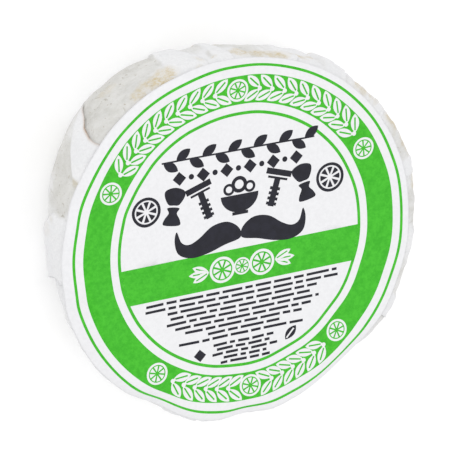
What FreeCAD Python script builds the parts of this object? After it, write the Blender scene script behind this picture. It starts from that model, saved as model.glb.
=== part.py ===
"""Shaving soap puck in its paper wrap, lying on its back with the label up.

Three pieces: the round soap, one sheet of tissue folded round it from behind with
its pleats gathered on the front, and the round paper label that covers and closes
the gather. Millimetres, +Z out of the label, +Y the label's top, origin in the
middle of the underside.
"""
import FreeCAD, Part
import math
import os
import Sketcher

# Driving dimensions: lengths in millimetres, pleat_angle in degrees.
SIZES = {
    "tissue_bottom": 0,
    "soap_radius": 33.6,
    "soap_height": 18.6,
    "soap_front_round": 2.5,
    "soap_back_round": 9.5,
    "side_gap": 0.1,
    "tissue_wall": 0.4,
    "pleat_depth": 0.4,
    "pleat_angle": 11,
    "pleat_count": 16,
    "pleat_foot": 4.0,
    "pleat_foot_round": 1.5,
    "gather_radius": 12.0,
    "glue_gap": 0.05,
    "label_thickness": 0.15,
    "label_lip": 0.85,
}

# Levels and sizes that follow from the driving ones.
WORKED_OUT = {
    "soap_bottom": "=tissue_bottom + tissue_wall",
    "soap_top": "=soap_bottom + soap_height",
    "tissue_top": "=soap_top + tissue_wall",
    "cavity_radius": "=soap_radius + side_gap",
    "cavity_front_round": "=soap_front_round + side_gap",
    "cavity_back_round": "=soap_back_round + side_gap",
    "tissue_radius": "=cavity_radius + tissue_wall",
    "tissue_front_round": "=cavity_front_round + tissue_wall",
    "tissue_back_round": "=cavity_back_round + tissue_wall",
    "pleat_radius": "=tissue_radius + pleat_depth",
    "pleat_front_round": "=tissue_front_round + pleat_depth",
    "pleat_top": "=tissue_top + pleat_depth",
    "label_flat_radius": "=pleat_radius - pleat_front_round",
    "label_bottom": "=pleat_top + glue_gap",
    "label_inner_round": "=pleat_front_round + glue_gap",
    "label_outer_round": "=label_inner_round + label_thickness",
    "label_edge": "=label_bottom - label_lip",
}

# The numbers that a sketch gives to an edge's ends, an arc's centre, its own
# origin and its vertical axis.
START, END, CENTRE = 1, 2, 3
ORIGIN = (-1, 1)
UPRIGHT_AXIS = -2
FULL_TURN = 360


def make_sheet(document):
    """The spreadsheet of sizes, one named cell to a row."""
    sheet = document.addObject("Spreadsheet::Sheet", "Sizes")
    for row, (name, value) in enumerate({**SIZES, **WORKED_OUT}.items(), start=1):
        sheet.set(f"A{row}", name)
        sheet.set(f"B{row}", str(value))
        sheet.setAlias(f"B{row}", name)
    document.recompute()
    return sheet


def make_body(document, name):
    """An empty body, labelled with the piece's name."""
    body = document.addObject("PartDesign::Body", name)
    body.Label = name
    return body


def make_sketch(body, name, role):
    """A sketch on one of the body's own origin planes."""
    sketch = body.newObject("Sketcher::SketchObject", name)
    plane = next(item for item in body.Origin.OriginFeatures if item.Role == role)
    sketch.AttachmentSupport = (plane, [""])
    sketch.MapMode = "FlatFace"
    return sketch


def add_line(sketch, start, end):
    """A straight edge; gives the edge's number."""
    ends = [FreeCAD.Vector(*place, 0) for place in (start, end)]
    return sketch.addGeometry(Part.LineSegment(*ends), False)


def add_circle(sketch, centre, radius):
    """A whole circle; gives its number."""
    circle = Part.Circle(FreeCAD.Vector(*centre, 0), FreeCAD.Vector(0, 0, 1), radius)
    return sketch.addGeometry(circle, False)


def add_arc(sketch, centre, radius, low, high):
    """An arc, anticlockwise from one angle to another in degrees; gives its number."""
    circle = Part.Circle(FreeCAD.Vector(*centre, 0), FreeCAD.Vector(0, 0, 1), radius)
    piece = Part.ArcOfCircle(circle, math.radians(low), math.radians(high))
    return sketch.addGeometry(piece, False)


def hold(sketch, kind, *places):
    """A constraint with no dimension."""
    sketch.addConstraint(Sketcher.Constraint(kind, *places))


def drive(sketch, sheet, size, kind, *places):
    """A dimension that follows a cell of the sheet."""
    number = sketch.addConstraint(Sketcher.Constraint(kind, *places, sheet.get(size)))
    sketch.renameConstraint(number, size)
    sketch.setExpression(f"Constraints.{size}", f"{sheet.Name}.{size}")


def rounded_outline(body, sheet, name, radius, low, high, front_round, back_round):
    """Half the section of a round slab: flat faces, upright side, two rounded edges."""
    sketch = make_sketch(body, name, "XZ_Plane")
    side, foot, head = (sheet.get(size) for size in (radius, low, high))
    front, back = sheet.get(front_round), sheet.get(back_round)
    top = add_line(sketch, (0, head), (side - front, head))
    shoulder = add_arc(sketch, (side - front, head - front), front, 0, 90)
    wall = add_line(sketch, (side, head - front), (side, foot + back))
    heel = add_arc(sketch, (side - back, foot + back), back, 270, 360)
    base = add_line(sketch, (side - back, foot), (0, foot))
    middle = add_line(sketch, (0, foot), (0, head))
    hold(sketch, "Coincident", base, END, middle, START)
    hold(sketch, "Coincident", middle, END, top, START)
    hold(sketch, "PointOnObject", middle, START, UPRIGHT_AXIS)
    hold(sketch, "PointOnObject", middle, END, UPRIGHT_AXIS)
    hold(sketch, "Horizontal", top)
    hold(sketch, "Vertical", wall)
    hold(sketch, "Horizontal", base)
    hold(sketch, "Tangent", top, END, shoulder, END)
    hold(sketch, "Tangent", shoulder, START, wall, START)
    hold(sketch, "Tangent", wall, END, heel, END)
    hold(sketch, "Tangent", heel, START, base, START)
    drive(sketch, sheet, front_round, "Radius", shoulder)
    drive(sketch, sheet, back_round, "Radius", heel)
    drive(sketch, sheet, radius, "DistanceX", *ORIGIN, wall, START)
    drive(sketch, sheet, high, "DistanceY", *ORIGIN, top, START)
    drive(sketch, sheet, low, "DistanceY", *ORIGIN, base, END)
    return sketch


def turn(body, kind, name, sketch):
    """A full turn of a sketch about its upright axis, added or cut away."""
    feature = body.newObject(f"PartDesign::{kind}", name)
    feature.Profile = sketch
    feature.ReferenceAxis = (sketch, ["V_Axis"])
    feature.Angle = FULL_TURN
    return feature


def make_soap(document, sheet):
    """The soap: a slab with a crisp front edge and a soft, worn-round back edge."""
    body = make_body(document, "soap_puck")
    outline = rounded_outline(body, sheet, "soap_outline", "soap_radius", "soap_bottom",
                              "soap_top", "soap_front_round", "soap_back_round")
    turn(body, "Revolution", "soap_slab", outline)
    return body


def add_pleats(body, sheet, axis_sketch):
    """Raised folds of tissue down the side and across the front, evenly round the puck."""
    fold = rounded_outline(body, sheet, "pleat_outline", "pleat_radius", "pleat_foot",
                           "pleat_top", "pleat_front_round", "pleat_foot_round")
    pleat = turn(body, "Revolution", "pleat", fold)
    pleat.Midplane = True
    pleat.setExpression("Angle", f"{sheet.Name}.pleat_angle")
    body.Document.recompute()
    pleats = body.newObject("PartDesign::PolarPattern", "pleats")
    pleats.Originals = [pleat]
    pleats.Axis = (axis_sketch, ["V_Axis"])
    pleats.Angle = FULL_TURN
    pleats.setExpression("Occurrences", f"{sheet.Name}.pleat_count")
    body.Tip = pleats
    body.Document.recompute()


def add_gather(body, sheet):
    """The disc of crossing folds in the middle of the front, where the pleats meet."""
    sketch = make_sketch(body, "gather_outline", "XY_Plane")
    edge = add_circle(sketch, (0, 0), sheet.get("gather_radius"))
    hold(sketch, "Coincident", edge, CENTRE, *ORIGIN)
    drive(sketch, sheet, "gather_radius", "Radius", edge)
    disc = body.newObject("PartDesign::Pad", "gather")
    disc.Profile = sketch
    disc.setExpression("Length", f"{sheet.Name}.pleat_top")
    body.Tip = disc
    body.Document.recompute()


def make_tissue(document, sheet):
    """The tissue: a closed skin round the soap, with raised pleats on side and front."""
    body = make_body(document, "tissue_wrap")
    outline = rounded_outline(body, sheet, "tissue_outline", "tissue_radius", "tissue_bottom",
                              "tissue_top", "tissue_front_round", "tissue_back_round")
    turn(body, "Revolution", "tissue_slab", outline)
    add_pleats(body, sheet, outline)
    add_gather(body, sheet)
    before = body.Shape.Volume

    cavity = rounded_outline(body, sheet, "cavity_outline", "cavity_radius", "soap_bottom",
                             "soap_top", "cavity_front_round", "cavity_back_round")
    room = turn(body, "Groove", "room_for_soap", cavity)
    body.Tip = room
    document.recompute()
    if room.Shape.Volume > before / 2:
        raise RuntimeError("the room for the soap wasn't cut out of the tissue")
    return body


def label_outline(body, sheet):
    """Half the section of the label: a thin flat disc whose border bends over the edge."""
    sketch = make_sketch(body, "label_outline", "XZ_Plane")
    flat, under = sheet.get("label_flat_radius"), sheet.get("label_bottom")
    inside, outside = sheet.get("label_inner_round"), sheet.get("label_outer_round")
    rim, pivot = sheet.get("label_edge"), under - inside
    inside_end, outside_end = (math.asin((rim - pivot) / size) for size in (inside, outside))
    over = pivot + outside
    top = add_line(sketch, (0, over), (flat, over))
    outer = add_arc(sketch, (flat, pivot), outside, math.degrees(outside_end), 90)
    lip = add_line(sketch, (flat + outside * math.cos(outside_end), rim),
                   (flat + inside * math.cos(inside_end), rim))
    inner = add_arc(sketch, (flat, pivot), inside, math.degrees(inside_end), 90)
    base = add_line(sketch, (flat, under), (0, under))
    middle = add_line(sketch, (0, under), (0, over))
    hold(sketch, "Coincident", base, END, middle, START)
    hold(sketch, "Coincident", middle, END, top, START)
    hold(sketch, "Coincident", outer, START, lip, START)
    hold(sketch, "Coincident", lip, END, inner, START)
    hold(sketch, "Coincident", outer, CENTRE, inner, CENTRE)
    hold(sketch, "PointOnObject", middle, START, UPRIGHT_AXIS)
    hold(sketch, "PointOnObject", middle, END, UPRIGHT_AXIS)
    hold(sketch, "Horizontal", top)
    hold(sketch, "Horizontal", lip)
    hold(sketch, "Horizontal", base)
    hold(sketch, "Tangent", top, END, outer, END)
    hold(sketch, "Tangent", inner, END, base, START)
    drive(sketch, sheet, "label_inner_round", "Radius", inner)
    drive(sketch, sheet, "label_outer_round", "Radius", outer)
    drive(sketch, sheet, "label_flat_radius", "DistanceX", *ORIGIN, outer, CENTRE)
    drive(sketch, sheet, "label_bottom", "DistanceY", *ORIGIN, base, END)
    drive(sketch, sheet, "label_edge", "DistanceY", *ORIGIN, lip, END)
    return sketch


def make_label(document, sheet):
    """The round label, glued over the gathered pleats on the front."""
    body = make_body(document, "front_label")
    turn(body, "Revolution", "label_disc", label_outline(body, sheet))
    return body


def check(document, pieces):
    """Stop at any object that failed, any loose sketch and any piece that isn't one solid."""
    for item in document.Objects:
        if {"Invalid", "Error"} & set(item.State):
            raise RuntimeError(f"{item.Name} is {item.State}")
        if item.TypeId == "Sketcher::SketchObject" and not item.FullyConstrained:
            raise RuntimeError(f"{item.Name} isn't fully constrained")
    for piece in pieces:
        shape = piece.Shape
        if shape.isNull() or not shape.isValid() or len(shape.Solids) != 1:
            raise RuntimeError(f"{piece.Label} isn't one valid solid")


document = FreeCAD.newDocument("shaving_soap_puck")
sizes = make_sheet(document)
pieces = [make(document, sizes) for make in (make_soap, make_tissue, make_label)]
document.recompute()
check(document, pieces)
os.makedirs("parts", exist_ok=True)
for piece in pieces:
    piece.Shape.exportStep(f"parts/{piece.Label}.step")
    print(f"{piece.Label}: {piece.Shape.Volume:.0f} cubic mm")
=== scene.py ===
import math
from collections import namedtuple

import bpy
import numpy as np
from mathutils import Matrix, Vector
from mathutils.geometry import delaunay_2d_cdt


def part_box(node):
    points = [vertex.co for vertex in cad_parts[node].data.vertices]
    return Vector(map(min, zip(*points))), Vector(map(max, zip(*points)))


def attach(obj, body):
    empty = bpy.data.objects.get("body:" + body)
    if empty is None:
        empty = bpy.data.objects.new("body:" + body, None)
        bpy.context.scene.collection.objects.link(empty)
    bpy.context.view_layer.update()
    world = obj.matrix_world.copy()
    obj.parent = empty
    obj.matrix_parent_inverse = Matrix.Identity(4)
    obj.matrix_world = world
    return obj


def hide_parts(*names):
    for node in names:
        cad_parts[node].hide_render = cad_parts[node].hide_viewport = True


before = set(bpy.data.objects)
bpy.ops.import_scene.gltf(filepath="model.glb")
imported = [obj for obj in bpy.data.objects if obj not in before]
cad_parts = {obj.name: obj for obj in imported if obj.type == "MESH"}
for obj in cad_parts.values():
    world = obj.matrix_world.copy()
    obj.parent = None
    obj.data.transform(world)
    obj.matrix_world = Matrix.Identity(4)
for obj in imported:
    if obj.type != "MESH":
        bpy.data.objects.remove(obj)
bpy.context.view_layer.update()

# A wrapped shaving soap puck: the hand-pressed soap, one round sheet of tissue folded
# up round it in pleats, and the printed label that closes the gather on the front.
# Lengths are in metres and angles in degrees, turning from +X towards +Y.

MM = 0.001
FULL_TURN = 360.0

# ---- sizes from the frame

soap_low, soap_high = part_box("soap_puck")
SOAP_RADIUS = soap_high[0]
SOAP_BOTTOM = soap_low[2]
SOAP_TOP = soap_high[2]
LABEL_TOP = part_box("front_label")[1][2]

# ---- driving sizes

PRINT_RADIUS = 32 * MM  # outside of the thin printed ring: one unit of the print
LABEL_RADIUS = 33.6 * MM  # the paper's own radius before its border bends down
OFF_CENTRE = (-0.4 * MM, -0.15 * MM)  # from the middle of the print to the paper's own
LABEL_REST = 0.45 * MM  # the label's underside over the soap in the middle
LABEL_THICKNESS = 0.12 * MM
FRONT_ROUND = 2.5 * MM
BACK_ROUND = 9.5 * MM
SHEET_RADIUS = 60 * MM  # the tissue was cut as a disc of this radius

# How far the pressed soap stands out from a true circle, in mm, every 20 degrees.
PRESSED = (1.6, 1.6, 0.3, -0.6, -1.8, -1.1, 0.2, 0.1, -1.7, -3.2, -2.9, -1.3, -0.8, 0.1,
           0.1, 0.2, 1.9, 1.3)

# How far the paper's edge bends down at the most, in radians, every 30 degrees. It stays
# stiff at the left, where it stands out past the tissue.
BEND_LIMITS = (1.05, 1.05, 1.05, 1.05, 1.05, 0.8, 0.5, 0.5, 1.2, 1.2, 1.05, 1.05)

# Where the soap's front edge is worn rounder: angle, half the width in degrees, extra mm.
WORN = ((309, 22, 2.8), (240, 14, 2.9), (270, 12, 2.4), (92, 7, 0.8), (30, 12, 0.6))

# ---- fields over the surface


def smooth(t):
    """0 below 0, 1 above 1, and an even curve between."""
    t = np.clip(t, 0.0, 1.0)
    return t * t * (3 - 2 * t)


def apart(theta, angle):
    """How far an angle is past another, from -180 to 180."""
    return (theta - angle + 180) % FULL_TURN - 180


def on_circle(radius, turn):
    """x and y at an angle in radians."""
    return radius * np.cos(turn), radius * np.sin(turn)


def curve_through(a, b, c, d, share):
    """A point between b and c on the smooth curve through a, b, c and d."""
    return b + 0.5 * share * (c - a + share * (2 * a - 5 * b + 4 * c - d
                                               + share * (3 * (b - c) + d - a)))


def between(a, b, c, d, s, t):
    """The value at s from a to b and from c to d, and at t between those two."""
    return (a * (1 - s) + b * s) * (1 - t) + (c * (1 - s) + d * s) * t


def steps_round(theta, table):
    """The entry of a table round the puck that an angle is past, and how far past it."""
    at = np.asarray(theta) * len(table) / FULL_TURN
    step = np.floor(at).astype(int)
    return step, at - step


def lattice(seed, size=64):
    """A square table of random numbers from -1 to 1."""
    return np.random.default_rng(seed).uniform(-1, 1, (size, size))


def soft_noise(x, y, cell, seed):
    """Smooth noise from -1 to 1 whose bumps are about one cell wide."""
    table = lattice(seed)
    n = len(table)
    u, v = x / cell, y / cell
    i, j = np.floor(u).astype(int), np.floor(v).astype(int)
    fu, fv = smooth(u - i), smooth(v - j)
    a, b = table[i % n, j % n], table[(i + 1) % n, j % n]
    c, d = table[i % n, (j + 1) % n], table[(i + 1) % n, (j + 1) % n]
    return between(a, b, c, d, fu, fv)


FACET_BEND = 0.45  # how far the creases between facets wander, in cells
FACET_BEND_CELL = 1.7  # over what length they do, in cells


def facet_noise(x, y, cell, seed):
    """Flat triangular facets with sharp creases between them, from -1 to 1."""
    bend, bend_cell = FACET_BEND * cell, FACET_BEND_CELL * cell
    wx = x + bend * soft_noise(x, y, bend_cell, seed + 1)
    wy = y + bend * soft_noise(x, y, bend_cell, seed + 2)
    table = lattice(seed)
    n = len(table)
    u = wx / cell - wy / (cell * math.sqrt(3))
    v = 2 * wy / (cell * math.sqrt(3))
    i, j = np.floor(u).astype(int), np.floor(v).astype(int)
    fu, fv = u - i, v - j
    p, q = table[(i + 1) % n, j % n], table[i % n, (j + 1) % n]
    near = (1 - fu - fv) * table[i % n, j % n] + fu * p + fv * q
    far = (fu + fv - 1) * table[(i + 1) % n, (j + 1) % n] + (1 - fv) * p + (1 - fu) * q
    return np.where(fu + fv < 1, near, far)


def soap_radius(theta):
    """The pressed soap's radius at an angle, through the values of PRESSED."""
    values = np.array(PRESSED) * MM
    i, share = steps_round(theta, values)
    near = (values[(i + k) % len(values)] for k in (-1, 0, 1, 2))
    return SOAP_RADIUS + curve_through(*near, share)


def front_round(theta):
    """The radius of the soap's front edge at an angle."""
    extra = np.zeros_like(np.asarray(theta, dtype=float))
    for angle, half_width, depth in WORN:
        extra = extra + depth * (1 - smooth(np.abs(apart(theta, angle)) / half_width))
    return FRONT_ROUND + extra * MM


# ---- the soap's outline

# The stretches of the outline from the middle of the back to the middle of the front.
BACK, HEEL, SIDE, SHOULDER, FRONT = range(5)


def outline(theta, stretch, share):
    """Place and outward normal on the soap: (radius, height, normal's two parts)."""
    edge, front = soap_radius(theta), front_round(theta)
    inner_back, inner_front = edge - BACK_ROUND, edge - front
    turn = share * math.pi / 2
    zero, one = np.zeros_like(edge), np.ones_like(edge)
    if stretch == BACK:
        return inner_back * share, SOAP_BOTTOM * one, zero, -one
    if stretch == HEEL:
        return (inner_back + BACK_ROUND * math.sin(turn),
                (SOAP_BOTTOM + BACK_ROUND * (1 - math.cos(turn))) * one,
                math.sin(turn) * one, -math.cos(turn) * one)
    if stretch == SIDE:
        low, high = SOAP_BOTTOM + BACK_ROUND, SOAP_TOP - front
        return edge, (low + (high - low) * share) * one, one, zero
    if stretch == SHOULDER:
        return (inner_front + front * math.cos(turn),
                SOAP_TOP - front * (1 - math.sin(turn)),
                math.cos(turn) * one, math.sin(turn) * one)
    return inner_front * (1 - share), SOAP_TOP * one, zero, one


def lengths():
    """Each stretch's length on a round soap, and the flat radius at which each starts."""
    quarter = math.pi / 2
    each = [SOAP_RADIUS - BACK_ROUND, quarter * BACK_ROUND,
            SOAP_TOP - SOAP_BOTTOM - BACK_ROUND - FRONT_ROUND,
            quarter * FRONT_ROUND, SOAP_RADIUS - FRONT_ROUND]
    return each, [sum(each[:k]) for k in range(len(each))]


LENGTH, STARTS = lengths()

# ---- meshes


def in_scene(name, data):
    """A new object, linked to the scene."""
    thing = bpy.data.objects.new(name, data)
    bpy.context.scene.collection.objects.link(thing)
    return thing


def make_object(name, points, faces):
    """A smooth-shaded mesh object."""
    mesh = bpy.data.meshes.new(name)
    mesh.from_pydata([tuple(p) for p in points], [], faces)
    mesh.validate()
    mesh.update()
    mesh.polygons.foreach_set("use_smooth", [True] * len(mesh.polygons))
    return in_scene(name, mesh)


def paint(piece, name, values):
    """A number at each vertex, which a material reads by its name."""
    layer = piece.data.attributes.new(name, "FLOAT", "POINT")
    layer.data.foreach_set("value", np.asarray(values, dtype=np.float32))


def grid_faces(rows, columns):
    """Quads between rows of points that close round on themselves."""
    faces = []
    for r in range(rows - 1):
        for c in range(columns):
            d = (c + 1) % columns
            faces.append((r * columns + c, r * columns + d,
                          (r + 1) * columns + d, (r + 1) * columns + c))
    return faces


# ---- the soap


SOAP_COLUMNS = 240
SOAP_STEPS = ((BACK, 14), (HEEL, 14), (SIDE, 8), (SHOULDER, 6), (FRONT, 14))
DENT_DEPTH = 0.06 * MM  # of the slight hollows of a hand-pressed surface
DENT_WIDTH = 5 * MM
DENT_SEED = 40
SOAP_INSET = 0.07 * MM  # keeps the surface between the hollows off the tissue


def make_soap():
    """The bar itself, closed, with the slight hollows of a hand-pressed surface."""
    theta = np.arange(SOAP_COLUMNS) * FULL_TURN / SOAP_COLUMNS
    turn = np.radians(theta)
    rows = []
    for stretch, count in SOAP_STEPS:
        for k in range(1, count):
            r, z, nr, nz = outline(theta, stretch, k / count)
            flat = STARTS[stretch] + LENGTH[stretch] * k / count
            x, y = on_circle(flat, turn)
            off = DENT_DEPTH * soft_noise(x, y, DENT_WIDTH, DENT_SEED) - SOAP_INSET
            r, z = r + off * nr, z + off * nz
            rows.append(np.stack([*on_circle(r, turn), z], 1))
    points = np.concatenate(rows)
    faces = grid_faces(len(rows), SOAP_COLUMNS)
    last = (len(rows) - 1) * SOAP_COLUMNS
    bottom, top = len(points), len(points) + 1
    points = np.concatenate([points, [[0, 0, SOAP_BOTTOM], [0, 0, SOAP_TOP]]])
    for c in range(SOAP_COLUMNS):
        d = (c + 1) % SOAP_COLUMNS
        faces.append((bottom, d, c))
        faces.append((top, last + c, last + d))
    return make_object("soap_bar", points, faces)


# ---- the tissue's pleats

# Each pleat at the label's border: its two sides, the angle of its point towards the
# back, its raised side, its height in mm, and how far in mm its point is from the border.
LOW_SIDE, HIGH_SIDE = 0, 1
Pleat = namedtuple("Pleat", "low high tip raised height reach")
PLEATS = tuple(Pleat(*sizes) for sizes in (
    (10, 15, 12, LOW_SIDE, 0.15, 16),
    (31, 37, 33, LOW_SIDE, 0.2, 15),
    (50, 57, 51.5, LOW_SIDE, 0.8, 15),
    (67, 70, 68, LOW_SIDE, 0.2, 20),
    (88, 93, 92, LOW_SIDE, 0.45, 16),
    (98, 108, 105.5, LOW_SIDE, 0.55, 20),
    (139, 151, 132, LOW_SIDE, 0.35, 12),
    (165, 187, 197, HIGH_SIDE, 1.1, 30),
    (199, 205, 207, HIGH_SIDE, 0.25, 15),
    (219, 227, 224, HIGH_SIDE, 0.3, 17),
    (246, 254, 251, HIGH_SIDE, 0.3, 16),
    (272, 280, 275, HIGH_SIDE, 0.3, 18),
    (298, 307, 303, LOW_SIDE, 0.3, 15),
    (324, 331, 327, LOW_SIDE, 0.25, 17),
    (346, 352, 348, LOW_SIDE, 0.15, 18),
))
BORDER = STARTS[SHOULDER] + 0.5 * LENGTH[SHOULDER]  # flat radius under the label's edge
OPEN_SHARE = -0.14  # how far a pleat's two folds stand apart before it starts
SETTLED = 0.2  # the share of its reach at full width
CLOSED_FROM = 0.3  # the share of its width from which it is folded shut
SLOPE = 1.4  # degrees over which a layer climbs onto a pleat
KINK = 1.3  # degrees by which a fold wanders from a straight line
KINK_LENGTH = 2.6 * MM  # the length of each straight piece of such a fold
KINK_SEED = 61
PRESSED_FOLD = 0.3  # the most, in mm, that a pleat keeps under the label
FREE_FROM = 4.5 * MM  # from the border to where a pleat is free of the label
PLEAT_START = 5 * MM  # a pleat's rise begins this far before its point
PLEAT_CLIMB = 9 * MM  # and takes this long
BACK_PRESS = 0.75  # the share of its height that a pleat loses under the puck
LIFT_START = STARTS[HEEL] + 1 * MM  # where the tissue leaves the flat back,
LIFT_SPAN = 6 * MM  # and over what length it does
COLUMN_STEP = 0.54  # degrees from one column of points to the next
FEWEST_COLUMNS = 8
BACK_COLUMNS = 10  # columns in the part of a pleat that runs back under itself
LAYER_FADE = 0.8  # degrees over which the look of three layers fades
FOLD_FADE = 0.9  # degrees from a raised fold at which its own look ends
FOLD_DROP = 0.7  # degrees in which a raised fold comes down
NARROWEST = 0.5  # the least width, in degrees, of the part under a pleat
UNDER_SHARE = 0.2  # how high the part under a pleat stays, against its top


def pleat_share(pleat, flat):
    """How far a pleat has closed at a distance from the middle of the back."""
    share = (1 + (flat - BORDER) / (pleat.reach * MM)) / (1 - SETTLED)
    return float(np.clip(share, OPEN_SHARE, 1.0))


def pleat_closed(pleat, flat):
    """0 where a pleat's sheet lies open, 1 where it is folded shut."""
    return float(smooth(pleat_share(pleat, flat) / CLOSED_FROM))


def pleat_sides(pleat, flat):
    """The angles of a pleat's two folds."""
    share = pleat_share(pleat, flat)
    wander = facet_noise(np.array(flat), np.array(pleat.low * MM), KINK_LENGTH, KINK_SEED)
    kink = KINK * share * float(wander)
    return (pleat.tip + (pleat.low - pleat.tip) * share + kink,
            pleat.tip + (pleat.high - pleat.tip) * share + kink)


def under_puck(flat):
    """1 where the tissue is pressed flat under the puck, 0 from the rounded heel on."""
    return 1 - smooth((flat - LIFT_START) / LIFT_SPAN)


def pleat_height(pleat, flat):
    """How far a pleat's raised fold stands over the layer beside it."""
    start = BORDER - pleat.reach * MM
    pressed = min(pleat.height, PRESSED_FOLD)
    free = (pleat.height - pressed) * (1 - smooth((flat - BORDER + FREE_FROM) / FREE_FROM))
    climb = float(smooth((flat - start + PLEAT_START) / PLEAT_CLIMB))
    return (pressed + float(free)) * MM * climb * (1 - BACK_PRESS * float(under_puck(flat)))


def outer_layer(here, after, wrap, flat):
    """The layer that shows, from one pleat's low side to the next one's high side."""
    low, high = pleat_sides(here, flat)
    next_low, next_high = (side + wrap for side in pleat_sides(after, flat))
    span = (after.high + wrap) - here.low
    count = max(FEWEST_COLUMNS, int(span / COLUMN_STEP))
    run = low + (next_high - low) * (np.arange(count) / count)
    rise, doubled, edge = (np.zeros(count) for _ in range(3))
    if here.raised == LOW_SIDE:
        closed = pleat_closed(here, flat)
        rise = rise + pleat_height(here, flat) * (1 - smooth((run - max(low, high)) / SLOPE))
        doubled = doubled + closed * (1 - smooth((run - high) / LAYER_FADE))
        edge = edge + closed * (1 - smooth((run - low) / FOLD_FADE))
    if after.raised == HIGH_SIDE:
        closed = pleat_closed(after, flat)
        climb = smooth((run - min(next_low, next_high) + SLOPE) / SLOPE)
        rise = rise + pleat_height(after, flat) * climb
        doubled = doubled + closed * smooth((run - next_low + LAYER_FADE) / LAYER_FADE)
        edge = edge + closed * smooth((run - next_high + FOLD_FADE) / FOLD_FADE)
    return run, rise, doubled, edge


def folded_back(pleat, wrap, flat):
    """The layer that runs back under a pleat, from its high side to its low side."""
    low, high = (side + wrap for side in pleat_sides(pleat, flat))
    from_fold = (np.arange(BACK_COLUMNS) / BACK_COLUMNS) ** 2
    drop = 1 - smooth(from_fold * max(abs(high - low), NARROWEST) / FOLD_DROP)
    settled = UNDER_SHARE * (1 - from_fold) + (1 - UNDER_SHARE) * drop
    lift = pleat_height(pleat, flat) * settled
    closed = pleat_closed(pleat, flat)
    layers = np.full(BACK_COLUMNS, closed)
    if pleat.raised == HIGH_SIDE:
        return high + (low - high) * from_fold, lift, layers, closed * drop
    return low + (high - low) * from_fold[::-1], lift[::-1], layers, closed * drop[::-1]


def tissue_row(flat):
    """Angle, extra height, layers and nearness to a raised fold along one flat radius."""
    parts = []
    for k, here in enumerate(PLEATS):
        after = PLEATS[(k + 1) % len(PLEATS)]
        wrap = FULL_TURN if k + 1 == len(PLEATS) else 0.0
        parts.append(outer_layer(here, after, wrap, flat))
        parts.append(folded_back(after, wrap, flat))
    return tuple(np.concatenate(part) for part in zip(*parts))


# ---- the tissue's creases

GAP = 0.1 * MM  # between the soap and the tissue that clings to it
FLOOR_GAP = 0.02 * MM  # under the tissue's flattened folds

# Three sizes of crease: share of the height, sharpness, cell, bend, lean, stretch, seed.
CREASES = (
    (0.5, 6, 7.5, 1.0, 0.25, 1.0, 24),
    (0.35, 5, 3.6, 1.5, -0.3, 0.45, 27),
    (0.15, 4, 1.7, -2.0, 0.5, 0.6, 37),
)
CREASE_BEND = (2.2, 9.0, 21)  # how far, over what length, and the seed
FACETS = ((0.27, 9 * MM, 1), (0.17, 4 * MM, 5), (0.07, 1.7 * MM, 9))  # height, cell, seed
FACET_RISE = 0.8  # mm that a full facet stands off the soap
CREASE_RISE = 0.16  # mm that a full crease does
LABEL_PRESS = 0.8  # the share of its creases that the label presses flat
PUCK_PRESS = 0.85  # the share that the puck's own weight does
PRESS_START, PRESS_SPAN = BORDER - 1 * MM, 3 * MM  # where the label begins to press


def creases(theta, flat):
    """Thin raised lines, mostly running from the back over the side to the front."""
    along = flat / MM
    far, length, bend_seed = CREASE_BEND
    bend = far * soft_noise(theta, along, length, bend_seed)
    rise = 0
    for share, sharpness, cell, bent, lean, stretch, seed in CREASES:
        lines = soft_noise(theta + bent * bend + lean * along, along * stretch, cell, seed)
        rise = rise + share * (1 - np.abs(lines)) ** sharpness
    return rise


TUCK_COUNT = 90
TUCK_SEED = 73
PULLED_FLAT = ((84, 120), (124, 215), (222, 246))  # stretches of the rim without tucks
RIM_DEGREE = 0.59  # mm along the rim in one degree
SHORT_REACH, LONG_REACH = (3.0, 9.0), (9.0, 16.0)  # mm; every third tuck is a long one
TUCK_LEAN = 0.35  # the usual lean, in degrees for each mm
TUCK_HEIGHT = (0.14, 0.55)  # mm
GENTLE_SIDE, STEEP_SIDE = 1.9, 0.35  # mm across a tuck's two sides
BORDER_SHARE = 0.2  # the share of its height that a tuck keeps at the border
BORDER_SPAN = 5  # mm from there in which it gets its full height
TAPER = 0.6  # the share of its reach over which it dies out
WAVE, WAVE_RATE = 0.5, 0.9  # degrees that its line waves, and radians for each mm


def plan_tucks():
    """The wrinkles that fan back from the border: angle, reach in mm, lean in degrees for
    each mm, height in mm, steep side, and where its waves start."""
    draw = np.random.default_rng(TUCK_SEED)
    plan = []
    for k in range(TUCK_COUNT):
        angle = FULL_TURN * (k + draw.uniform(-0.7, 0.7)) / TUCK_COUNT
        reach = draw.uniform(*(SHORT_REACH if k % 3 else LONG_REACH))
        plan.append((angle, reach, draw.normal(0, TUCK_LEAN), draw.uniform(*TUCK_HEIGHT),
                     draw.choice((-1, 1)), draw.uniform(0, 2 * math.pi)))
    return [tuck for tuck in plan if not any(a < tuck[0] < b for a, b in PULLED_FLAT)]


TUCKS = plan_tucks()


def tucks(theta, flat):
    """The wrinkles' height in mm: steep on one side, gentle on the other."""
    rise = np.zeros_like(theta)
    back = (BORDER - flat) / MM
    at_border = float(BORDER_SHARE + (1 - BORDER_SHARE) * smooth(back / BORDER_SPAN))
    for angle, reach, lean, height, side, wave in TUCKS:
        if back < reach:
            middle = angle + lean * back + WAVE * math.sin(WAVE_RATE * back + wave)
            across = side * RIM_DEGREE * apart(theta, middle)
            shape = np.where(across > 0, 1 - smooth(across / GENTLE_SIDE),
                             1 - smooth(-across / STEEP_SIDE))
            along = smooth((reach - back) / (TAPER * reach)) * at_border
            rise = np.maximum(rise, height * along * shape)
    return rise


def facets(theta, flat):
    """The creased tissue's height in its own facets, from 0 on the soap to about 1."""
    x, y = on_circle(flat, np.radians(theta))
    return sum(height * (1 + facet_noise(x, y, cell, seed)) for height, cell, seed in FACETS)


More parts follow.
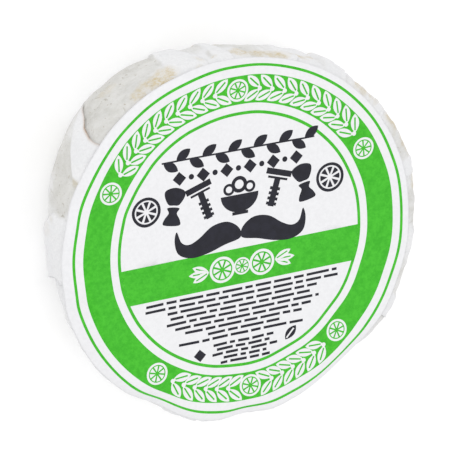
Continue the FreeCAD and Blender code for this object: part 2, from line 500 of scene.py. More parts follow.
def crumple(theta, flat):
    """How far the creased tissue stands off the soap, the same for all its layers."""
    under_label = smooth((flat - PRESS_START) / PRESS_SPAN)
    free = (1 - PUCK_PRESS * under_puck(flat)) * (1 - LABEL_PRESS * under_label)
    rise = FACET_RISE * facets(theta, flat) + CREASE_RISE * creases(theta, flat)
    return GAP + (rise + tucks(theta, flat)) * MM * free


# ---- the tissue's mesh and stains

TISSUE_STEPS = ((BACK, 20), (HEEL, 32), (SIDE, 18), (SHOULDER, 12), (FRONT, 9))


def tissue_rows():
    """(stretch, share, flat radius) of each row, from the middle of the back."""
    rows = []
    for stretch, count in TISSUE_STEPS:
        end = (SHEET_RADIUS - STARTS[FRONT]) / LENGTH[FRONT] if stretch == FRONT else 1.0
        for k in range(1 if stretch == BACK else 0, count):
            share = end * k / count
            rows.append((stretch, share, STARTS[stretch] + LENGTH[stretch] * share))
    return rows


# Where oil has stained the tissue: angle, distance back from the border in mm, half the
# width in degrees, half the length in mm, and how strong.
STAINS = (
    (110.5, 1.6, 3.5, 2.4, 1.0), (114.5, 1.2, 4, 2.0, 1.0), (120, 0.7, 4, 1.5, 0.9),
    (126, 9, 4, 1.6, 0.4), (98.8, 2.3, 1.3, 1.0, 1.0), (100.4, 0.4, 1.0, 0.8, 1.0),
    (93.5, 2.0, 1.2, 0.8, 0.7), (83, 3.9, 5, 2.4, 1.0), (77, 3.2, 5, 2.4, 1.0),
    (71, 2.9, 5, 2.2, 1.0), (65, 3.4, 4, 2.1, 1.0), (61, 4.0, 2.5, 1.4, 0.6),
    (43, 0.8, 4, 1.3, 0.9), (36, 1.0, 4, 1.4, 1.0), (28, 1.0, 4, 1.3, 1.0),
    (20, 1.2, 3.5, 1.2, 0.8), (8, 1.0, 3.5, 1.0, 0.8), (356, 2.5, 3, 1.2, 0.6),
    (152.7, 1.5, 1.2, 1.0, 0.8), (166.6, 6.7, 1.2, 0.9, 0.8), (171, 9, 2, 1.5, 0.4),
    (31, 11, 5, 1.8, 0.6), (55, 12, 4, 2.2, 0.7), (88, 13, 6, 1.8, 0.7),
    (214, 12, 7, 2.0, 0.7), (240, 3, 4, 1.6, 0.8), (262, 9, 7, 2.2, 0.6), (292, 12, 6, 2.4, 0.8),
    (316, 3, 5, 1.6, 0.7), (338, 10, 6, 2.2, 0.7),
)
# Where the tissue clings to the soap most: the same five numbers.
CLINGING = (
    (124, 8, 18, 11, 1.3), (133, 3, 8, 7, 1.3), (112, 9, 8, 8, 1.2), (148, 10, 11, 8, 1.4),
    (155, 5, 8, 7, 1.4), (161, 6, 5, 7, 1.4), (93, 4, 2, 3, 0.7), (78, 9, 9, 7, 0.9),
)
BROWN_PLEAT = 139  # the pleat whose raised fold is painted brown
BROWN_MIDDLE, BROWN_REACH = 4.5, 2.5  # mm from the border where it is brownest, and how far
BROWN_WIDTH, BROWN_LEAST = 10, 0.45  # degrees from it, and the least share of the brown
RAGGED = ((3.0, 3.1, 31), (1.6, 1.1, 34))  # how far, cell and seed of ragged edges
DRIFT = ((0.5, 9 * MM, 51), (0.24, 3.5 * MM, 52))  # the same of the clinging elsewhere
MEAN_DRIFT = 0.4
FACET_FREES, CREASE_FREES = 0.7, 0.35  # how much these hold the tissue off the soap
TUCK_FREES, TUCK_FULL = 0.8, 0.2  # the same for a tuck, and from what height in mm
CLING_FULL = 0.9
DOUBLED_HIDES = 0.6  # the share of a stain that folded layers hide
DOUBLED_SMOOTHS = 0.5  # and of the creases


def patches(spots, theta, flat):
    """Soft-edged patches round the rim, their outlines made ragged by noise."""
    shade = np.zeros_like(theta)
    ragged = 0.5 * sum(far * soft_noise(theta, flat / MM, cell, seed)
                       for far, cell, seed in RAGGED)
    from_border = (BORDER - flat) / MM + 0.5 * ragged
    for angle, distance, half_width, half_length, strength in spots:
        across = apart(theta + ragged, angle) / half_width
        along = (from_border - distance) / half_length
        shade = np.maximum(shade, strength * smooth(1.25 - np.hypot(across, along)))
    return shade


def cling(theta, flat):
    """1 where the tissue lies on the soap, 0 where a crease or a tuck holds it off."""
    x, y = on_circle(flat, np.radians(theta))
    drift = MEAN_DRIFT + sum(far * soft_noise(x, y, cell, seed) for far, cell, seed in DRIFT)
    held = np.maximum(patches(CLINGING, theta, flat), drift)
    held = held + FACET_FREES * (0.5 - facets(theta, flat))
    held = held - CREASE_FREES * creases(theta, flat)
    return smooth(held / CLING_FULL) * (1 - TUCK_FREES * smooth(tucks(theta, flat) / TUCK_FULL))


def make_tissue():
    """The open sheet, from the middle of the back to its edge under the label."""
    points, stain, browned, clinging, creased = [], [], [], [], []
    for stretch, share, flat in tissue_rows():
        theta, lift, layers, fold = tissue_row(flat)
        r, z, nr, nz = outline(theta, stretch, share)
        off = crumple(theta, flat) + lift
        turn = np.radians(theta)
        r, z = r + off * nr, z + off * nz
        points.append(np.stack([*on_circle(r, turn), np.maximum(z, FLOOR_GAP)], 1))
        stain.append(patches(STAINS, theta, flat) * (1 - DOUBLED_HIDES * layers))
        clinging.append(cling(theta, flat) * (1 - layers))
        creased.append(creases(theta, flat) * (1 - DOUBLED_SMOOTHS * layers))
        near = np.abs(theta - BROWN_PLEAT) < BROWN_WIDTH
        away = abs((BORDER - flat) / MM - BROWN_MIDDLE) / BROWN_REACH
        brown = BROWN_LEAST + (1 - BROWN_LEAST) * smooth(1.4 - away)
        browned.append(fold * near * brown)
    rows, columns = len(points), len(points[0])
    faces = grid_faces(rows, columns)
    middle = rows * columns
    points = np.concatenate(points + [[[0, 0, FLOOR_GAP]]])
    for c in range(columns):
        faces.append((middle, (c + 1) % columns, c))
    piece = make_object("tissue_sheet", points, faces)
    for name, values in (("stained", stain), ("browned", browned), ("clinging", clinging),
                         ("creased", creased)):
        paint(piece, name, np.append(np.concatenate(values), 0.0))
    return piece


# ---- the label's print

# Outlines are in units of the printed ring's radius. Each goes with its ink.
PAPER, GREEN, DARK = range(3)
PAPER_EDGE = LABEL_RADIUS / PRINT_RADIUS
WHITE_MIDDLE = 0.717  # radius of the white inside the rings
# Every ring from the outside in, as the disc that it is cut from.
RINGS = ((PAPER_EDGE, PAPER), (1.0, GREEN), (0.984, PAPER), (0.9384, GREEN),
         (0.7775, PAPER), (0.7345, GREEN), (WHITE_MIDDLE, PAPER))
WREATH_RADIUS = 0.858  # the middle of the broad green ring


def polar(radius, angle):
    """x and y at an angle in radians, as plain numbers."""
    return radius * math.cos(angle), radius * math.sin(angle)


def ring_points(radius, count=360, x=0.0, y=0.0):
    """A circle about (x, y)."""
    turn = np.arange(count) * 2 * math.pi / count
    return [(x + radius * math.cos(a), y + radius * math.sin(a)) for a in turn]


def moved(points, x=0.0, y=0.0, angle=0.0, size=1.0):
    """An outline turned and scaled about (0, 0), then moved."""
    c, s = math.cos(math.radians(angle)) * size, math.sin(math.radians(angle)) * size
    return [(x + c * px - s * py, y + s * px + c * py) for px, py in points]


def leaf(length, width, count=9):
    """A pointed leaf from (0, 0) along +X."""
    along = [k / count for k in range(count + 1)]
    upper = [(length * t, width / 2 * math.sin(math.pi * t) ** 0.8) for t in along]
    lower = [(px, -py) for px, py in upper[-2:0:-1]]
    return upper + lower


def flowing(points, steps=5):
    """A smooth closed outline through a few points."""
    n = len(points)
    smooth_points = []
    for k in range(n):
        near = [Vector(points[(k + m) % n]) for m in (-1, 0, 1, 2)]
        smooth_points += [tuple(curve_through(*near, m / steps)) for m in range(steps)]
    return smooth_points


def bar(x0, y0, x1, y1):
    """A rectangle from its lower left to its upper right corner."""
    return [(x0, y0), (x1, y0), (x1, y1), (x0, y1)]


def diamond(x, y, size):
    """A square that stands on its corner."""
    return [(moved(bar(-1, -1, 1, 1), x, y, 45, size), DARK)]


def leaf_shape(length, width, ink, rib):
    """A leaf with its rib left out."""
    thin = 0.09 * width
    return [(leaf(length, width), ink),
            (bar(0.12 * length, -thin, 0.8 * length, thin), rib)]


def slice_shape(radius, ink, ground, parts=8):
    """A slice of citrus: rind, pith and wedges."""
    shapes = [(ring_points(radius, 32), ink), (ring_points(0.8 * radius, 32), ground)]
    half = math.pi / parts
    for k in range(parts):
        middle = 2 * math.pi * k / parts
        arc = [middle + half * 0.72 * t for t in (-1, -0.5, 0, 0.5, 1)]
        wedge = [polar(0.17 * radius, middle)] + [polar(0.7 * radius, a) for a in arc]
        shapes.append((wedge, ink))
    return shapes


def put(shapes, x=0.0, y=0.0, angle=0.0, size=1.0):
    """Inked shapes, each turned, scaled and moved."""
    return [(moved(points, x, y, angle, size), ink) for points, ink in shapes]


def laurel(first, last, count, ink, ground):
    """Leaves in pairs along the ring from one angle to another, berries between them."""
    shapes = []
    ahead = 90 if last > first else -90
    for k in range(count):
        angle = first + (last - first) * (k + 0.5) / count
        x, y = polar(WREATH_RADIUS, math.radians(angle))
        for side in (-1, 1):
            one = put(leaf_shape(0.108, 0.05, ink, ground), 0, 0.008 * side, 36 * side)
            shapes += put(one, x, y, angle + ahead)
        shapes.append((ring_points(0.013, 12, x, y), ink))
    return shapes


def round_border():
    """White laurel on the broad green ring, above and below, with slices of fruit."""
    shapes = []
    from_middle, from_end = 6.5, 5  # degrees that a slice of fruit takes up
    for middle, spread, count in ((89.5, 62, 10), (271.5, 40, 6)):
        for side in (-1, 1):
            start, end = middle + side * from_middle, middle + side * (spread - from_end)
            shapes += laurel(end, start, count, PAPER, GREEN)
        for angle in (middle - spread, middle, middle + spread):
            x, y = polar(WREATH_RADIUS, math.radians(angle))
            shapes += put(slice_shape(0.064, PAPER, GREEN), x, y, angle)
    return shapes


def band():
    """The green band across the middle."""
    top, bottom, steps = -0.0405, -0.2485, 12
    high, low = math.asin(top / WHITE_MIDDLE), math.asin(bottom / WHITE_MIDDLE)
    arc = [low + (high - low) * k / steps for k in range(steps + 1)]
    right = [polar(WHITE_MIDDLE, a) for a in arc]
    left = [(-px, py) for px, py in reversed(right)]
    return [(right + left, GREEN)]


def band_fruit():
    """Slices in white across the green band, with leaves lying to each side."""
    shapes = []
    level = -0.147
    for x in (-0.12, 0.12):
        shapes += put(slice_shape(0.076, PAPER, GREEN), x, level)
    shapes += put(slice_shape(0.05, PAPER, GREEN), 0, level)
    for side in (-1, 1):
        for tilt in (-24, 0, 24):
            shapes += put(leaf_shape(0.12 - 0.0006 * abs(tilt), 0.042, PAPER, GREEN),
                          side * 0.2, level, tilt if side > 0 else 180 + tilt)
    return shapes


def garland():
    """A vine over the tools, and a row of diamonds and dots."""
    shapes = [(bar(-0.45, 0.515, 0.46, 0.525), DARK)]
    for k in range(12):
        x = -0.44 + 0.84 * k / 11
        lean = 1 if k % 2 else -1
        shapes.append((moved(leaf(0.102, 0.054), x, 0.52, 34 * lean), DARK))
    for k in range(11):
        x = -0.35 + 0.7 * k / 10
        if k % 2:
            shapes.append((ring_points(0.016, 12, x, 0.418), DARK))
        else:
            shapes += diamond(x, 0.418, 0.028)
    return shapes


def brush():
    """A shaving brush: knot, ferrule and turned handle, 2 units high."""
    knot = flowing([(-0.3, 0.12), (-0.55, 0.55), (-0.5, 0.85), (0, 1.0), (0.5, 0.85),
                    (0.55, 0.55), (0.3, 0.12), (0, 0.08)], 4)
    handle = flowing([(-0.32, -0.05), (-0.22, -0.33), (-0.42, -0.66), (-0.42, -0.96),
                      (0.42, -0.96), (0.42, -0.66), (0.22, -0.33), (0.32, -0.05)], 4)
    return [(knot, DARK), (handle, DARK)]


def razor():
    """A safety razor: head, guard, neck and knurled handle."""
    shapes = [(bar(-0.72, 0.66, 0.72, 0.98), DARK), (bar(-0.56, 0.46, 0.56, 0.58), DARK),
              (bar(-0.17, -0.98, 0.17, 0.5), DARK)]
    for k in range(4):
        low = -0.92 + 0.27 * k
        shapes.append((bar(-0.29, low, 0.29, low + 0.16), DARK))
    return shapes


def bowl():
    """A lathering bowl with foam over its rim."""
    half = [(math.cos(a), 0.02 + 0.9 * math.sin(a))
            for a in np.linspace(math.pi, 2 * math.pi, 17)]
    shapes = [(half, DARK), (bar(-0.42, -1.0, 0.42, -0.84), DARK)]
    for x, y, size in ((-0.55, 0.34, 0.3), (0.0, 0.52, 0.42), (0.55, 0.34, 0.3)):
        shapes.append((ring_points(size, 24, x, y), DARK))
        shapes.append((ring_points(0.55 * size, 24, x, y), PAPER))
    return shapes


def heading():
    """A row of grooming tools between two slices of fruit."""
    shapes = []
    level, size = 0.266, 0.108
    shapes += put(bowl(), 0, level, 0, 1.05 * size)
    for side in (-1, 1):
        shapes += put(razor(), side * 0.215, level, -18 * side, size)
        shapes += put(brush(), side * 0.392, level, 10 * side, size)
        shapes += put(slice_shape(0.085, DARK, PAPER), side * 0.552, level)
    return shapes


def moustache():
    """Two mirrored curls that meet in the middle."""
    half = [(0.004, 0.02), (0.012, 0.08), (0.08, 0.125), (0.17, 0.115), (0.25, 0.06),
            (0.31, 0.035), (0.355, 0.055), (0.38, 0.12), (0.395, 0.065), (0.375, -0.01),
            (0.3, -0.045), (0.2, -0.035), (0.1, -0.005)]
    return [([(side * px, py) for px, py in flowing(half)], DARK) for side in (-1, 1)]


def small_print():
    """Rows of plain dashes where the label has its fine print."""
    shapes = []
    dashes = (0.105, 0.06, 0.14, 0.08, 0.12, 0.045, 0.095)
    half_thick, space, shortest = 0.0077, 0.018, 0.02
    # Each row's height, half its width and its dashes' size.
    rows = [(-0.277 - 0.0325 * k, half, 1.0) for k, half in
            enumerate((0.58, 0.585, 0.455, 0.44, 0.465, 0.415, 0.355, 0.22, 0.395))]
    rows += [(-0.58 - 0.0275 * k, half, 0.7) for k, half in
             enumerate((0.19, 0.17, 0.2, 0.13, 0.15))]
    n = 0
    for y, half, size in rows:
        x = -half
        while x < half - shortest:
            end = min(x + dashes[n % len(dashes)] * size, half)
            shapes.append((bar(x, y - half_thick, end, y + half_thick), DARK))
            x = end + space
            n += 1
    return shapes


def badge():
    """A leaf beside the small print, and a diamond across from it."""
    return (put(leaf_shape(0.1, 0.052, DARK, PAPER), 0.25, -0.635, 50)
            + diamond(-0.275, -0.62, 0.026))


def paper_circle(radius):
    """A circle of the print, or outside it one that nears the paper's cut edge."""
    share = max(radius - 1, 0.0) / (PAPER_EDGE - 1)
    x, y = (share * offset / PRINT_RADIUS for offset in OFF_CENTRE)
    return ring_points(radius, x=x, y=y)


def print_shapes():
    """Every inked outline in drawing order, later over earlier."""
    shapes = [(paper_circle(radius), ink) for radius, ink in RINGS]
    shapes += band() + round_border() + band_fruit() + garland() + heading() + moustache()
    return shapes + small_print() + badge()


def anticlockwise(points):
    """The same outline, turned round if it runs clockwise."""
    area = sum(ax * by - bx * ay
               for (ax, ay), (bx, by) in zip(points, points[1:] + points[:1]))
    return points if area > 0 else points[::-1]


# ---- the label's mesh

ENVELOPE_TURN = 480  # steps round
ENVELOPE_STEP = 0.5 * MM
ENVELOPE_FIRST = STARTS[SHOULDER] - 2 * MM
ENVELOPE_COUNT = 60
SPREAD_STEPS, EASE_STEPS = 4, 14  # how often the highest parts spread, then ease
LABEL_GAP = 0.04 * MM  # between the tissue's highest layer and the label
EVEN_START, EVEN_SPAN = SHEET_RADIUS - 3 * MM, 12 * MM  # from where the label lies evenly
# Extra circles and a triangular grid that let the print bend with the paper, in its units.
BEND_CIRCLES = (0.95, 0.96, 0.971, 1.008, 1.016, 1.024, 1.032, 1.041)
GRID_STEP, GRID_REACH = 0.045, 0.93
GRID_SHIFT = (0.0013, 0.0017)  # keeps grid points off the print's own lines
ROW_STEP = math.sqrt(3) / 2  # from one row of the grid to the next, in grid steps


def tissue_envelope():
    """The tissue's highest layer on a grid, eased as stiff paper rests on it."""
    table = np.zeros((ENVELOPE_COUNT, ENVELOPE_TURN))
    for i in range(ENVELOPE_COUNT):
        flat = ENVELOPE_FIRST + i * ENVELOPE_STEP
        if flat > SHEET_RADIUS:
            continue
        theta, lift, _, _ = tissue_row(flat)
        at = np.floor(theta % FULL_TURN * ENVELOPE_TURN / FULL_TURN).astype(int)
        np.maximum.at(table[i], at % ENVELOPE_TURN, crumple(theta, flat) + lift)
    raw = table
    for _ in range(SPREAD_STEPS):
        around = np.maximum(np.roll(table, 1, 1), np.roll(table, -1, 1))
        padded = np.pad(table, ((1, 1), (0, 0)), "edge")
        table = np.maximum(np.maximum(table, around), np.maximum(padded[:-2], padded[2:]))
    for _ in range(EASE_STEPS):
        table = (np.roll(table, 1, 1) + table + np.roll(table, -1, 1)) / 3
        padded = np.pad(table, ((1, 1), (0, 0)), "edge")
        table = (padded[:-2] + table + padded[2:]) / 3
    return table + max(0.0, float((raw - table).max()))


def label_lift(theta, flat, table):
    """How far the label's underside lies over the soap."""
    u = theta * ENVELOPE_TURN / FULL_TURN - 0.5
    v = np.clip((flat - ENVELOPE_FIRST) / ENVELOPE_STEP, 0, ENVELOPE_COUNT - 1.001)
    i, j = np.floor(v).astype(int), np.floor(u).astype(int)
    fv, fu = v - i, u - j
    j, k = j % ENVELOPE_TURN, (j + 1) % ENVELOPE_TURN
    lift = between(table[i, j], table[i + 1, j], table[i, k], table[i + 1, k], fv, fu)
    inwards = smooth((flat - EVEN_START) / EVEN_SPAN)
    return lift * (1 - inwards) + LABEL_REST * inwards + LABEL_GAP


def bend_limit(theta):
    """How far the paper's edge may bend down at an angle."""
    limits = np.array(BEND_LIMITS)
    i, share = steps_round(theta, limits)
    share = smooth(share)
    return limits[i % len(limits)] * (1 - share) + limits[(i + 1) % len(limits)] * share


def label_places(xy):
    """The label's front and its normals, laid over the soap and bent down at its edge."""
    r = np.hypot(xy[:, 0], xy[:, 1]) * PRINT_RADIUS
    turn = np.arctan2(xy[:, 1], xy[:, 0])
    theta = np.degrees(turn) % FULL_TURN
    edge_round = front_round(theta)
    level = soap_radius(theta) - edge_round
    past = np.maximum(r - level, 0.0)
    flat = STARTS[FRONT] + np.maximum(level - r, 0.0) - past / edge_round * FRONT_ROUND
    lift = label_lift(theta, flat, tissue_envelope()) + LABEL_THICKNESS
    radius = edge_round + lift
    over = np.minimum(past / radius, bend_limit(theta))
    straight = past - over * radius
    nr, nz = np.sin(over), np.cos(over)
    out = np.minimum(r, level) + radius * nr + straight * nz
    z = SOAP_TOP - edge_round + radius * nz - straight * nr
    return np.stack([*on_circle(out, turn), z], 1), np.stack([*on_circle(nr, turn), nz], 1)


def grid_points():
    """The plain points between the print's outlines."""
    points = []
    across, up = math.ceil(GRID_REACH / GRID_STEP), math.ceil(GRID_REACH / GRID_STEP / ROW_STEP)
    for i in range(-across, across + 1):
        for j in range(-up, up + 1):
            x, y = (i + 0.5 * (j % 2)) * GRID_STEP, j * GRID_STEP * ROW_STEP
            if math.hypot(x, y) < GRID_REACH:
                points.append((x + GRID_SHIFT[0], y + GRID_SHIFT[1]))
    return points


def make_label():
    """The printed disc: a front cut along every outline, a back and an edge."""
    points, outlines, inks, edges = [], [], [], []
    for shape, ink in print_shapes():
        outlines.append(list(range(len(points), len(points) + len(shape))))
        points += anticlockwise(shape)
        inks.append(ink)
    for radius in BEND_CIRCLES:
        first = len(points)
        circle = paper_circle(radius)
        points += circle
        edges += [(first + k, first + (k + 1) % len(circle)) for k in range(len(circle))]
    points += grid_points()
    flat = [Vector(p) for p in points]
    verts, _, faces, _, _, owners = delaunay_2d_cdt(flat, edges, outlines, 1, 1e-7)
    top, normal = label_places(np.array([tuple(v) for v in verts]))
    below = top - normal * LABEL_THICKNESS
    n = len(top)
    sides = {side: True for face in faces for side in zip(face, face[1:] + face[:1])}
    rim = [(a, b) for a, b in sides if (b, a) not in sides]
    all_faces = [tuple(f) for f in faces] + [tuple(n + v for v in reversed(f)) for f in faces]
    all_faces += [(b, a, n + a, n + b) for a, b in rim]
    piece = make_object("label_paper", np.concatenate([top, below]), all_faces)
    ink = [inks[max(o)] for o in owners] + [PAPER] * (len(all_faces) - len(faces))
    assert len(piece.data.polygons) == len(ink), "the label lost faces"
    piece.data.polygons.foreach_set("material_index", ink)
    return piece


# ---- materials


class Nodes:
    """A short way to write a material's nodes."""

    def __init__(self, name):
        self.material = bpy.data.materials.new(name)
        self.material.use_nodes = True
        self.tree = self.material.node_tree
        self.shader = self.tree.nodes["Principled BSDF"]
        self.place = self.add("ShaderNodeTexCoord").outputs["Object"]

    def feed(self, node, values):
        """Links a node's inputs to sockets, or sets them to plain values."""
        for name, value in values.items():
            if isinstance(value, bpy.types.NodeSocket):
                self.tree.links.new(value, node.inputs[name])
            else:
                node.inputs[name].default_value = value

    def add(self, kind, values=None, **settings):
        """A new node with its properties set and its inputs fed."""
        node = self.tree.nodes.new(kind)
        for key, value in settings.items():
            setattr(node, key, value)
        self.feed(node, values or {})
        return node

    def attribute(self, name):
        return self.add("ShaderNodeAttribute", attribute_name=name).outputs["Fac"]

    def noise(self, scale, detail=4.0, rough=0.55, stretch=None, wander=0.0):
        """Noise from 0 to 1 over the object's own place."""
        place = self.place
        if stretch:
            mapping = self.add("ShaderNodeMapping", {"Scale": stretch, "Vector": place})
            place = mapping.outputs["Vector"]
        node = self.add("ShaderNodeTexNoise", {
            "Vector": place, "Scale": scale, "Detail": detail, "Roughness": rough,
            "Distortion": wander})
        return node.outputs["Fac"]

    def crumpled(self, scale, warp):
        """Distance to the nearest crease, and a random tone for each facet that is painted on as
        facet shade.
        """
        bend = self.add("ShaderNodeTexNoise",
                        {"Vector": self.place, "Scale": 0.6 * scale, "Detail": 2.0})
        shift = self.add("ShaderNodeVectorMath", operation="MULTIPLY_ADD", values={
            0: bend.outputs["Color"], 1: (warp, warp, warp), 2: self.place})
        from_edge, cell = (
            self.add("ShaderNodeTexVoronoi", feature=feature,
                     values={"Scale": scale, "Vector": shift.outputs["Vector"]})
            for feature in ("DISTANCE_TO_EDGE", "F1"))
        facet_shade = self.add("ShaderNodeSeparateColor", {"Color": cell.outputs["Color"]})
        return from_edge.outputs["Distance"], facet_shade.outputs["Red"]

    def ramp(self, value, low, high, start=0.0, end=1.0):
        """A value eased from start to end as it goes from low to high."""
        node = self.add("ShaderNodeMapRange", interpolation_type="SMOOTHSTEP", values={
            "Value": value, "From Min": low, "From Max": high, "To Min": start, "To Max": end})
        return node.outputs["Result"]

    def maths(self, operation, *values):
        """An operation on two sockets or numbers."""
        node = self.add("ShaderNodeMath", dict(enumerate(values)), operation=operation)
        return node.outputs[0]

    def times(self, a, b):
        return self.maths("MULTIPLY", a, b)

    def plus(self, a, b):
        return self.maths("ADD", a, b)

    def mix(self, share, first, second):
        """A blend of two colours or colour sockets."""
        node = self.add("ShaderNodeMix", {"Factor": share, 6: first, 7: second},
                        data_type="RGBA")
        return node.outputs[2]

    def bump(self, height, strength, distance):
        node = self.add("ShaderNodeBump",
                        {"Height": height, "Strength": strength, "Distance": distance})
        self.feed(self.shader, {"Normal": node.outputs["Normal"]})

    def finish(self, colour, roughness, specular=0.25, sheen=0.0):
        """Sets the shader and gives the material."""
        self.feed(self.shader, {"Base Color": colour, "Roughness": roughness,
                                "Specular IOR Level": specular, "Sheen Weight": sheen})
        return self.material


def linear(red, green, blue):
    """An sRGB colour, 0 to 255, as a shader's linear values, opaque."""
    def one(c):
        c = c / 255
        return c / 12.92 if c <= 0.04045 else ((c + 0.055) / 1.055) ** 2.4
    return (*(one(c) for c in (red, green, blue)), 1.0)


def soap_material():
    n = Nodes("soap")
    cloud = n.noise(160, 5)
    colour = n.mix(n.ramp(cloud, 0.35, 0.65), linear(214, 196, 158), linear(232, 220, 192))
    n.bump(n.noise(900, 6), 0.25, 0.2 * MM)
    return n.finish(colour, n.ramp(n.noise(300), 0.3, 0.7, 0.38, 0.55), specular=0.5)


def tissue_material():
    n = Nodes("tissue")
    fibres = n.noise(2400, 5, 0.7)
    threads = n.noise(620, 8, 0.75, (1.0, 2.4, 1.5), 1.2)
    cloud = n.noise(210, 6, 0.65, wander=0.4)
    spread = n.noise(95, 3, 0.5)
    specks = n.noise(1500, 3, 0.5)
    # Crease lines for the bumps, and a random tone per facet that is used as painted facet
    # shade.
    crease, facet_shade = n.crumpled(240, 3.2 * MM)
    fine_crease, fine_facet_shade = n.crumpled(640, 1.4 * MM)
    stain, brown, cling, raised = (
        n.attribute(name) for name in ("stained", "browned", "clinging", "creased"))
    # Free tissue: white, each facet a little lighter or darker in painted shade, as if the
    # facets faced the light at different angles.
    white = n.mix(n.ramp(fibres, 0.3, 0.7), linear(223, 223, 224), linear(232, 232, 233))
    white = n.mix(n.times(facet_shade, 0.35), white, linear(219, 220, 223))
    # Tissue on the soap: grey, with the soap's own clouds behind it.
    wet = n.mix(n.ramp(cloud, 0.36, 0.62), linear(190, 189, 183), linear(212, 211, 207))
    # Painted shade here too: each facet of the clinging tissue is made a little lighter or
    # darker.
    wet = n.mix(n.times(fine_facet_shade, 0.25), wet, linear(220, 219, 216))
    wet = n.mix(n.times(facet_shade, 0.35), wet, linear(203, 201, 195))
    seen = n.times(n.ramp(spread, 0.3, 0.6, 0.75, 1.0),
                   n.ramp(threads, 0.3, 0.6, 0.7, 1.0))
    colour = n.mix(n.times(cling, seen), white, wet)
    # Oil: a soft yellow tint with grains in it.
    grains = n.times(n.ramp(threads, 0.36, 0.58, 0.3, 1.0),
                     n.ramp(fibres, 0.35, 0.6, 0.45, 1.0))
    colour = n.mix(n.times(stain, grains), colour, linear(198, 182, 144))
    # A few short dark strokes, where a crease has trapped some soap.
    strokes = n.maths("MAXIMUM", n.ramp(n.noise(1100, 1, 0.4, (1.9, 0.4, 0.9), 0.6), 0.69, 0.73),
                      n.ramp(n.noise(1000, 1, 0.4, (0.4, 1.9, 0.9), 0.6), 0.7, 0.74))
    strokes = n.times(strokes, n.ramp(spread, 0.46, 0.56))
    strokes = n.times(strokes, n.times(cling, 0.6))
    colour = n.mix(strokes, colour, linear(158, 152, 138))
    dots = n.times(n.ramp(specks, 0.66, 0.74), n.times(cling, 0.6))
    colour = n.mix(dots, colour, linear(160, 147, 125))
    # Brown painted along the raised fold of one pleat, darkest a little back from the border.
    fold = n.times(brown, n.ramp(threads, 0.35, 0.55, 0.6, 1.0))
    colour = n.mix(fold, colour, linear(164, 128, 84))
    relief = n.plus(n.plus(fibres, threads), raised)
    relief = n.plus(relief, n.ramp(crease, 0.0, 0.2, 1.2, 0.0))
    relief = n.plus(relief, n.ramp(fine_crease, 0.0, 0.2, 0.5, 0.0))
    n.bump(relief, 0.5, 0.1 * MM)
    return n.finish(colour, n.ramp(cloud, 0.3, 0.7, 0.5, 0.7), specular=0.3, sheen=0.1)


def label_paper_material():
    n = Nodes("label_paper")
    grain = n.noise(1500, 5)
    colour = n.mix(n.ramp(grain, 0.3, 0.7), linear(226, 226, 228), linear(231, 231, 233))
    n.bump(grain, 0.08, 0.05 * MM)
    return n.finish(colour, n.ramp(grain, 0.3, 0.7, 0.5, 0.6))


def ink_material(name, scale, detail, rough, thick, thin):
    """Printed ink, a little uneven."""
    n = Nodes(name)
    density = n.noise(scale, detail, rough)
    colour = n.mix(n.ramp(density, 0.35, 0.65), linear(*thick), linear(*thin))
    return n.finish(colour, n.ramp(density, 0.3, 0.7, 0.45, 0.55))


# ---- pieces

soap = make_soap()
soap.data.materials.append(soap_material())
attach(soap, "root")
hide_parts("soap_puck")

tissue = make_tissue()
tissue.data.materials.append(tissue_material())
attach(tissue, "root")
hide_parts("tissue_wrap")

label = make_label()
for material in (
        label_paper_material(),
        ink_material("green_ink", 1000, 6, 0.75, (52, 170, 25), (70, 188, 41)),
        ink_material("dark_ink", 700, 5, 0.55, (22, 22, 32), (33, 33, 44))):
    label.data.materials.append(material)
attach(label, "root")
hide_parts("front_label")

# ---- stage

FLOOR_SIZE = 4.0
FLOOR_GREY, FLOOR_GLOW = 0.78, 0.25  # a faint glow keeps the floor as pale as a backdrop
SKY_STRENGTH = 0.88
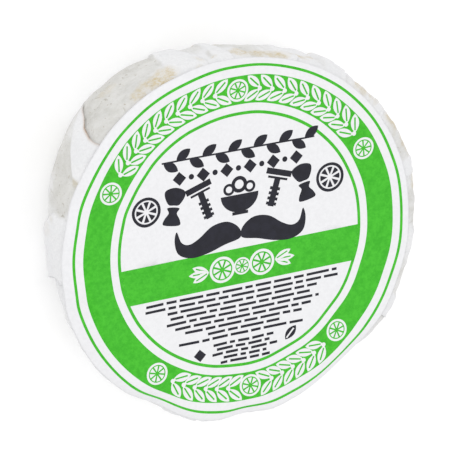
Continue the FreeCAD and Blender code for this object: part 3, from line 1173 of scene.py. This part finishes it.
# Each lamp's name, place, size and power.
LAMPS = (
    ("key", (-0.35, 0.45, 0.8), 0.5, 2.1),
    ("fill", (0.4, -0.4, 0.8), 0.9, 1.2),
)
CAMERA_RIGHT = (0.9016, -0.0338, 0.4312)  # the picture's own right
CAMERA_BACK = (-0.3941, 0.3464, 0.8513)  # from the label towards the camera
CAMERA_PLACE = (-6.479, 5.711, 13.841)  # from the label's middle, in the print's units
SENSOR_WIDTH, LENS = 36, 234.8
NEAR_CLIP = 0.01


def make_floor():
    bpy.ops.mesh.primitive_plane_add(size=FLOOR_SIZE)
    floor = bpy.context.object
    floor.name = "floor"
    material = bpy.data.materials.new("floor")
    material.use_nodes = True
    shader = material.node_tree.nodes["Principled BSDF"]
    shader.inputs["Base Color"].default_value = (FLOOR_GREY, FLOOR_GREY, FLOOR_GREY, 1)
    shader.inputs["Emission Color"].default_value = (1, 1, 1, 1)
    shader.inputs["Emission Strength"].default_value = FLOOR_GLOW
    shader.inputs["Roughness"].default_value = 0.9
    shader.inputs["Specular IOR Level"].default_value = 0.0
    floor.data.materials.append(material)


def make_light(name, place, size, power):
    """A round lamp that points at the puck."""
    data = bpy.data.lights.new(name, "AREA")
    data.shape = "DISK"
    data.size = size
    data.energy = power
    lamp = in_scene(name, data)
    lamp.location = place
    aim = Vector((0, 0, SOAP_TOP / 2)) - Vector(place)
    lamp.rotation_euler = aim.to_track_quat("-Z", "Y").to_euler()


def make_world():
    world = bpy.data.worlds.new("studio")
    world.use_nodes = True
    sky = world.node_tree.nodes["Background"]
    sky.inputs["Color"].default_value = (1, 1, 1, 1)
    sky.inputs["Strength"].default_value = SKY_STRENGTH
    bpy.context.scene.world = world


def make_camera():
    """A long lens at the label's upper left, 32 degrees off its normal."""
    across = Vector(CAMERA_RIGHT).normalized()
    back = Vector(CAMERA_BACK)
    back = (back - across * back.dot(across)).normalized()
    up = back.cross(across)
    place = Vector(CAMERA_PLACE) * PRINT_RADIUS + Vector((0, 0, LABEL_TOP))
    data = bpy.data.cameras.new("camera")
    data.sensor_width = SENSOR_WIDTH
    data.lens = LENS
    data.clip_start = NEAR_CLIP
    camera = in_scene("camera", data)
    axes = Matrix((across, up, back)).transposed()
    camera.matrix_world = Matrix.Translation(place) @ axes.to_4x4()
    bpy.context.scene.camera = camera


make_floor()
make_world()
for lamp in LAMPS:
    make_light(*lamp)
make_camera()
bpy.context.scene.view_settings.view_transform = "Standard"
